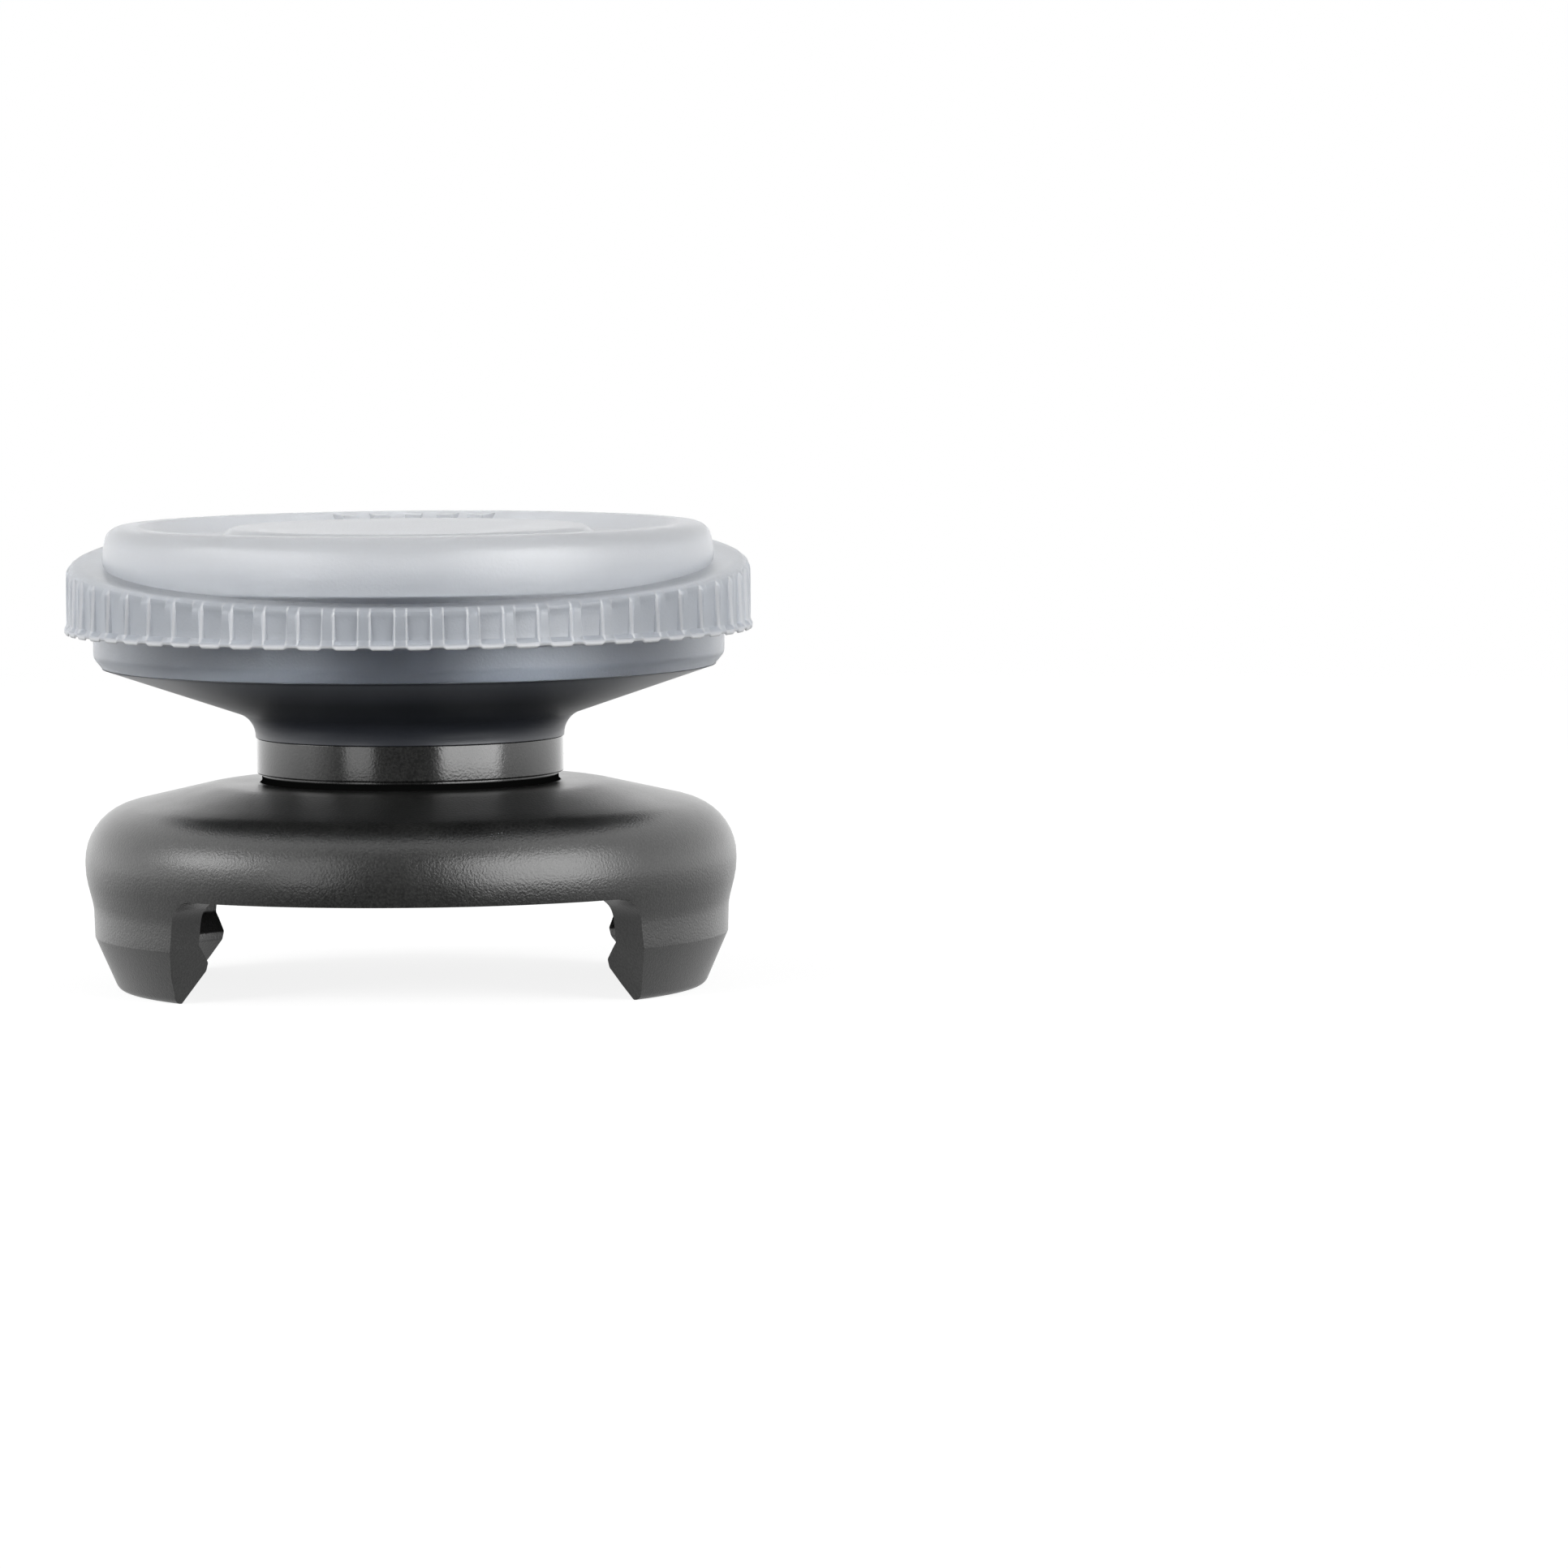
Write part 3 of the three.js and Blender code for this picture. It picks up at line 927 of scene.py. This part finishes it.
@dataclass
class ThumbCap(TurnedPiece):
    """Frosted cap: skirt, ribbed flange, shoulder, rim and dished pad."""

    name: str = "soft_cap"
    node: str = "thumb_cap"
    slot: Slot = Slot.CAP
    ribs: int = 60
    columns: tuple[float, ...] = (0, 0.12, 0.155, 0.21, 0.5, 0.79, 0.845, 0.88)
    flank_start: float = 0.1
    flank_end: float = 0.4
    groove_start: float = 0.13
    groove_full: float = 0.2
    arc_step: float = math.radians(15)
    seat_radius: float = 8.8
    seat_top: float = 12.23
    seat_room: float = 0.04
    skirt: float = 9.65
    skirt_radius: float = 9.46
    skirt_fillet: float = 0.32
    edge_radius: float = 9.2
    shoulder_foot: float = 8.9
    shoulder_root: float = 0.4
    shoulder_radius: float = 9.18
    shoulder_drop: float = 0.95
    shoulder_fillet: float = 3
    crest: float = 13.88
    crest_room: float = 0.12
    rim_outer: float = 9.02
    rim_fillet: float = 0.7
    rim_inner: float = 8.1
    flange: float = 10.73
    flange_height: float = 2.05
    flange_radius: float = 10.25
    flange_fillet: float = 0.34
    lip: float = 0.06
    lip_edge: float = 0.1
    lip_slope: float = 0.14
    lip_scallop: float = 0.06
    lip_room: float = 0.05
    groove_depth: float = 0.16
    groove_draft: float = 0.05
    draft_start: float = 9.9
    draft_full: float = 10.0
    tilt: float = math.radians(5.1)
    level_room: float = 0.01
    trough_outer: float = 7.3
    trough_inner: float = 5.75
    pad_radius: float = 5.3
    trough_depth: float = 0.42
    pad_edge_depth: float = 0.07
    pad_depth: float = 0.45
    bars: int = 5
    bar_pitch: float = math.radians(8.2)
    bar_width: float = 0.5
    bar_inner: float = 6.7
    bar_outer: float = 8.2
    bar_top: float = 0.05
    bar_root: float = 0.6

    def __post_init__(self) -> None:
        """Give each rib pitch its own columns of faces, and work out the shoulder's wall."""
        self.steps = self.ribs * len(self.columns)
        self.top = self.flange + self.flange_height
        wall = Outline(
            (
                Corner(self.shoulder_foot, self.flange + self.shoulder_root),
                Corner(
                    self.shoulder_radius, self.crest - self.shoulder_drop, self.shoulder_fillet
                ),
                Corner(self.rim_outer, self.crest, self.rim_fillet),
                Corner(self.rim_inner, self.crest),
            )
        )
        self.wall = wall.points()

    def wall_radius(self, height: float) -> float:
        """Read the shoulder's radius.

        Args:
            height: The height to read it at.

        Returns:
            The radius there.
        """
        for low, high in zip(self.wall, self.wall[1:]):
            if height <= high.z:
                share = (height - low.z) / (high.z - low.z)
                return low.x + (high.x - low.x) * share
        return self.wall[-1].x

    def outline(self) -> Outline:
        """Give the cap's outline, from the core's seat round the outside to the pad."""
        lip_radius = self.flange_radius + self.lip
        top = self.top
        crest = self.crest
        return Outline(
            (
                Corner(0, self.seat_top),
                Corner(self.seat_radius, self.seat_top, 0.1),
                Corner(self.seat_radius, self.skirt),
                Corner(self.edge_radius, self.skirt, 0.03),
                Corner(self.skirt_radius, self.skirt + self.skirt_fillet, self.skirt_fillet),
                Corner(self.skirt_radius, self.flange, 0.1),
                Corner(lip_radius, self.flange, 0.08),
                Corner(lip_radius, self.flange + self.lip_edge, 0.04),
                Corner(self.flange_radius, self.flange + self.lip_edge + self.lip_slope, 0.06),
                Corner(self.flange_radius, top, self.flange_fillet),
                Corner(self.wall_radius(top), top, 0.05),
                Corner(self.shoulder_radius, crest - self.shoulder_drop, self.shoulder_fillet),
                Corner(self.rim_outer, crest, self.rim_fillet),
                Corner(self.rim_inner, crest, 0.36),
                Corner(self.trough_outer, crest - self.trough_depth, 0.3),
                Corner(self.trough_inner, crest - self.trough_depth, 0.1),
                Corner(self.pad_radius, crest - self.pad_edge_depth, 0.3),
                Corner(0, crest - self.pad_depth),
            ),
            arc_step=self.arc_step,
        )

    def shape(self, mesh: bmesh.types.BMesh) -> None:
        """Groove the flange's wall and lean its upper face down to the front.

        Args:
            mesh: The turned cap.
        """
        pitch = 2 * math.pi / self.ribs
        step = 2 * math.pi / self.steps
        for vert in mesh.verts:
            radius = math.hypot(vert.co.x, vert.co.y) / MM
            height = vert.co.z / MM
            if radius < self.pad_radius / 2:
                continue
            angle = math.atan2(vert.co.y, vert.co.x) - FRONT
            column = round(angle / step) % self.steps
            share = self.columns[column % len(self.columns)]
            groove = self._depth(share) * self._depth(1 - share)
            rise = share_between(self.flange, self.top, height)
            draft = self.groove_draft * (0.5 - rise)
            draft *= smoothstep(self.draft_start, self.draft_full, radius)
            pitches = column // len(self.columns) + share + self._side(share) * draft
            turn = FRONT + pitches * pitch
            radius, height = self._flange(radius, height, turn, groove)
            vert.co = Vector((radius * math.cos(turn), radius * math.sin(turn), height)) * MM

    def _depth(self, share: float) -> float:
        """Tell how deep a groove is at one of its flanks.

        Args:
            share: The way from the rib's middle, in pitches.

        Returns:
            From 0 on the rib to 1 in the groove.
        """
        return smoothstep(self.groove_start, self.groove_full, share)

    def _side(self, share: float) -> float:
        """Tell which flank of a groove a column is on.

        Args:
            share: The column's place in its pitch.

        Returns:
            1 on the first flank, -1 on the second one, and 0 elsewhere.
        """
        if self.flank_start < share < self.flank_end:
            return 1.0
        return -1.0 if self.flank_start < 1 - share < self.flank_end else 0.0

    def _flange(
        self, radius: float, height: float, turn: float, groove: float
    ) -> tuple[float, float]:
        """Move one point of the flange.

        Args:
            radius: Its radius.
            height: Its height.
            turn: Its angle about the axis.
            groove: How far it is into a groove, from 0 to 1.

        Returns:
            The new radius and height.
        """
        lip_top = self.flange + self.lip_edge
        lean_end = self.crest - self.crest_room
        wall_high = self.top - self.flange_fillet
        wall_inside = self.flange_radius - self.flange_fillet
        on_seat = radius < self.seat_radius + self.seat_room
        if on_seat or not self.flange - self.level_room < height < lean_end:
            return radius, height
        if radius > wall_inside and lip_top + self.lip_room < height < self.top:
            radius -= self.groove_depth * groove * smoothstep(self.top, wall_high, height)
        elif radius > self.flange_radius and height <= lip_top:
            height -= self.lip_scallop * groove
        lean = radius * math.sin(turn) * math.tan(self.tilt)
        if height > self.top:
            leaned = height + lean * (lean_end - height) / (lean_end - self.top)
            return radius + self.wall_radius(leaned) - self.wall_radius(height), leaned
        wall_low = lip_top + self.lip_slope
        return radius, height + lean * share_between(wall_low, wall_high, height)

    def finish(self, piece: bpy.types.Object) -> None:
        """Raise the grip bars across the trough, at the back.

        Args:
            piece: The turned cap.
        """
        mesh = bmesh.new()
        depth = (self.bar_top + self.bar_root) / 2
        length = self.bar_outer - self.bar_inner
        middle = Vector((0, (self.bar_inner + self.bar_outer) / 2, self.crest - depth))
        size = Vector((self.bar_width, length, self.bar_root - self.bar_top))
        bar = Matrix.Translation(middle * MM) @ Matrix.Diagonal((*(size * MM), 1))
        for i in range(self.bars):
            turn = Matrix.Rotation((i - (self.bars - 1) / 2) * self.bar_pitch, 4, "Z")
            bmesh.ops.create_cube(mesh, size=1, matrix=turn @ bar)
        self.combine(piece, mesh, "UNION")


@dataclass(frozen=True)
class Lamp:
    """A soft lamp that faces the grip; a strip is only mirrored, a fill never."""

    name: str
    place: tuple[float, float, float]
    size: tuple[float, float]
    watts: float
    lights: bool = True
    mirrored: bool = True


@dataclass(frozen=True)
class Fade:
    """How the mirrored surroundings change along one axis of the direction."""

    axis: str
    low: float
    high: float
    start: float
    end: float


@dataclass(frozen=True)
class Studio:
    """White floor, soft lamps, white surroundings and the camera."""

    frame_px: float = 1932
    axis_px: float = 506
    focal_px: float = 11700
    px_per_mm: float = 41
    aim_height_mm: float = 5.93
    elevation: float = math.radians(4.24)
    azimuth: float = math.radians(1.4)
    roll: float = math.radians(0.6)
    sensor_mm: float = 36
    nearest: float = 0.01
    farthest: float = 50
    floor_radius: float = 0.16
    floor_sides: int = 64
    floor_white: float = 0.9
    floor_dim: float = 0.3
    floor_glow: float = 1.32
    glow_share: float = 0.65
    fade_start: float = 0.3
    fade_end: float = 0.95
    ambient: float = 0.28
    lamps: tuple[Lamp, ...] = (
        Lamp("left_strip", (-0.4, -0.52, 0.2), (0.28, 0.62), 1.75, lights=False),
        Lamp("right_strip", (0.48, -0.43, 0.2), (0.64, 0.62), 9.8, lights=False),
        Lamp("side_strip", (-0.59, -0.13, 0.25), (0.37, 0.25), 2.2, lights=False),
        Lamp("left_fill", (-0.5, -0.42, 0.2), (0.4, 0.4), 3.7, mirrored=False),
        Lamp("right_fill", (0.5, -0.42, 0.2), (0.4, 0.4), 3.2, mirrored=False),
        Lamp("top_box", (0, 0.1, 0.6), (0.5, 0.4), 0.1),
    )
    fades: tuple[Fade, ...] = (
        Fade("Y", -0.75, -0.2, 0.03, 2.35),
        Fade("Z", -0.22, -0.02, 0.4, 1),
        Fade("Z", 0.05, 0.3, 1, 0.8),
        Fade("Z", 0.6, 0.9, 1, 1.4),
        Fade("Y", 0.3, 0.9, 1, 0.77),
    )

    def camera(self) -> None:
        """Place the camera so that the grip lies where it does in the photograph."""
        data = bpy.data.cameras.new("camera")
        data.sensor_width = self.sensor_mm
        data.lens = self.focal_px / self.frame_px * self.sensor_mm
        data.clip_start = self.nearest
        data.clip_end = self.farthest
        camera = bpy.data.objects.new("camera", data)
        target = Vector((0, 0, self.aim_height_mm * MM))
        away = Vector(
            (
                math.sin(self.azimuth) * math.cos(self.elevation),
                -math.cos(self.azimuth) * math.cos(self.elevation),
                math.sin(self.elevation),
            )
        )
        distance = self.focal_px / self.px_per_mm * MM
        facing = away.to_track_quat("Z", "Y").to_matrix().to_4x4()
        offset = math.atan((self.frame_px / 2 - self.axis_px) / self.focal_px)
        camera.matrix_world = (
            Matrix.Translation(target + away * distance)
            @ facing
            @ Matrix.Rotation(-offset, 4, "Y")
            @ Matrix.Rotation(-self.roll, 4, "Z")
        )
        bpy.context.scene.collection.objects.link(camera)
        bpy.context.scene.camera = camera

    def floor_material(self) -> bpy.types.Material:
        """Make the floor's white, which fades out at the edge and isn't mirrored.

        Returns:
            The finished material.
        """
        material = bpy.data.materials.new("white_floor")
        graph = Graph(material)
        light_path = graph.node("ShaderNodeLightPath").outputs
        white = graph.shader("BsdfDiffuse", {"Color": grey(self.floor_white)})
        dim = graph.shader("BsdfDiffuse", {"Color": grey(self.floor_dim)})
        plain = graph.mix(light_path["Is Diffuse Ray"], white, dim)
        glow = graph.shader("Emission", {"Color": grey(1), "Strength": self.floor_glow})
        seen = Value(graph, light_path["Is Camera Ray"])
        lit = graph.mix(seen * self.glow_share, plain, glow)
        start = self.floor_radius * self.fade_start
        end = self.floor_radius * self.fade_end
        fade = graph.ramp(graph.length(graph.place()), start, end, 0, 1)
        fade = fade.larger(Value(graph, light_path["Is Glossy Ray"]))
        graph.finish(graph.mix(fade, lit, graph.shader("BsdfTransparent")))
        return material

    def floor(self) -> None:
        """Lay a white floor under the clips; it keeps the grip's shadow."""
        mesh = bmesh.new()
        bmesh.ops.create_circle(
            mesh, cap_ends=True, segments=self.floor_sides, radius=self.floor_radius
        )
        data = bpy.data.meshes.new("floor")
        mesh.to_mesh(data)
        mesh.free()
        data.materials.append(self.floor_material())
        floor = bpy.data.objects.new("floor", data)
        bpy.context.scene.collection.objects.link(floor)

    def light(self, lamp: Lamp) -> None:
        """Set up one lamp, facing the grip.

        Args:
            lamp: What it is like.
        """
        data = bpy.data.lights.new(lamp.name, "AREA")
        data.shape = "RECTANGLE"
        data.size, data.size_y = lamp.size
        data.energy = lamp.watts
        light = bpy.data.objects.new(lamp.name, data)
        light.visible_diffuse = lamp.lights
        light.visible_glossy = lamp.mirrored
        place = Vector(lamp.place)
        facing = (place - Vector((0, 0, self.aim_height_mm * MM))).to_track_quat("Z", "Y")
        light.matrix_world = Matrix.Translation(place) @ facing.to_matrix().to_4x4()
        bpy.context.scene.collection.objects.link(light)

    def world(self) -> None:
        """Make the surroundings white; the grip mirrors them darker behind the camera."""
        world = bpy.data.worlds.new("white_surroundings")
        world.cycles.sampling_method = "NONE"
        bpy.context.scene.world = world
        graph = Graph(world)
        light_path = graph.node("ShaderNodeLightPath").outputs
        axes = graph.axes(graph.node("ShaderNodeTexCoord").outputs["Generated"])
        through = Value(graph, light_path["Is Transmission Ray"])
        mirrored = Value(graph, light_path["Is Glossy Ray"]) * (1 - through)
        for fade in self.fades:
            step = graph.ramp(axes[fade.axis], fade.low, fade.high, fade.start, fade.end)
            mirrored = mirrored * step
        seen = Value(graph, light_path["Is Camera Ray"]).larger(through)
        strength = seen.larger(mirrored).larger(self.ambient)
        background = graph.shader("Background", {"Color": grey(1), "Strength": strength})
        graph.finish(background, "OutputWorld")

    def build(self) -> None:
        """Set up the whole studio."""
        bpy.context.scene.view_settings.view_transform = "Standard"
        self.camera()
        self.floor()
        for lamp in self.lamps:
            self.light(lamp)
        self.world()
        LOG.info("studio: camera, floor, lamps and surroundings")


def main() -> None:
    """Build the studio and the three pieces, and note the sizes."""
    logging.basicConfig(level=logging.INFO, format="%(name)s: %(message)s")
    Studio().build()
    ClipBase().build(SatinPlastic().build())
    HeadCore().build(DarkCore().build())
    ThumbCap().build(FrostedElastomer().build())


if __name__ == "__main__":
    main()
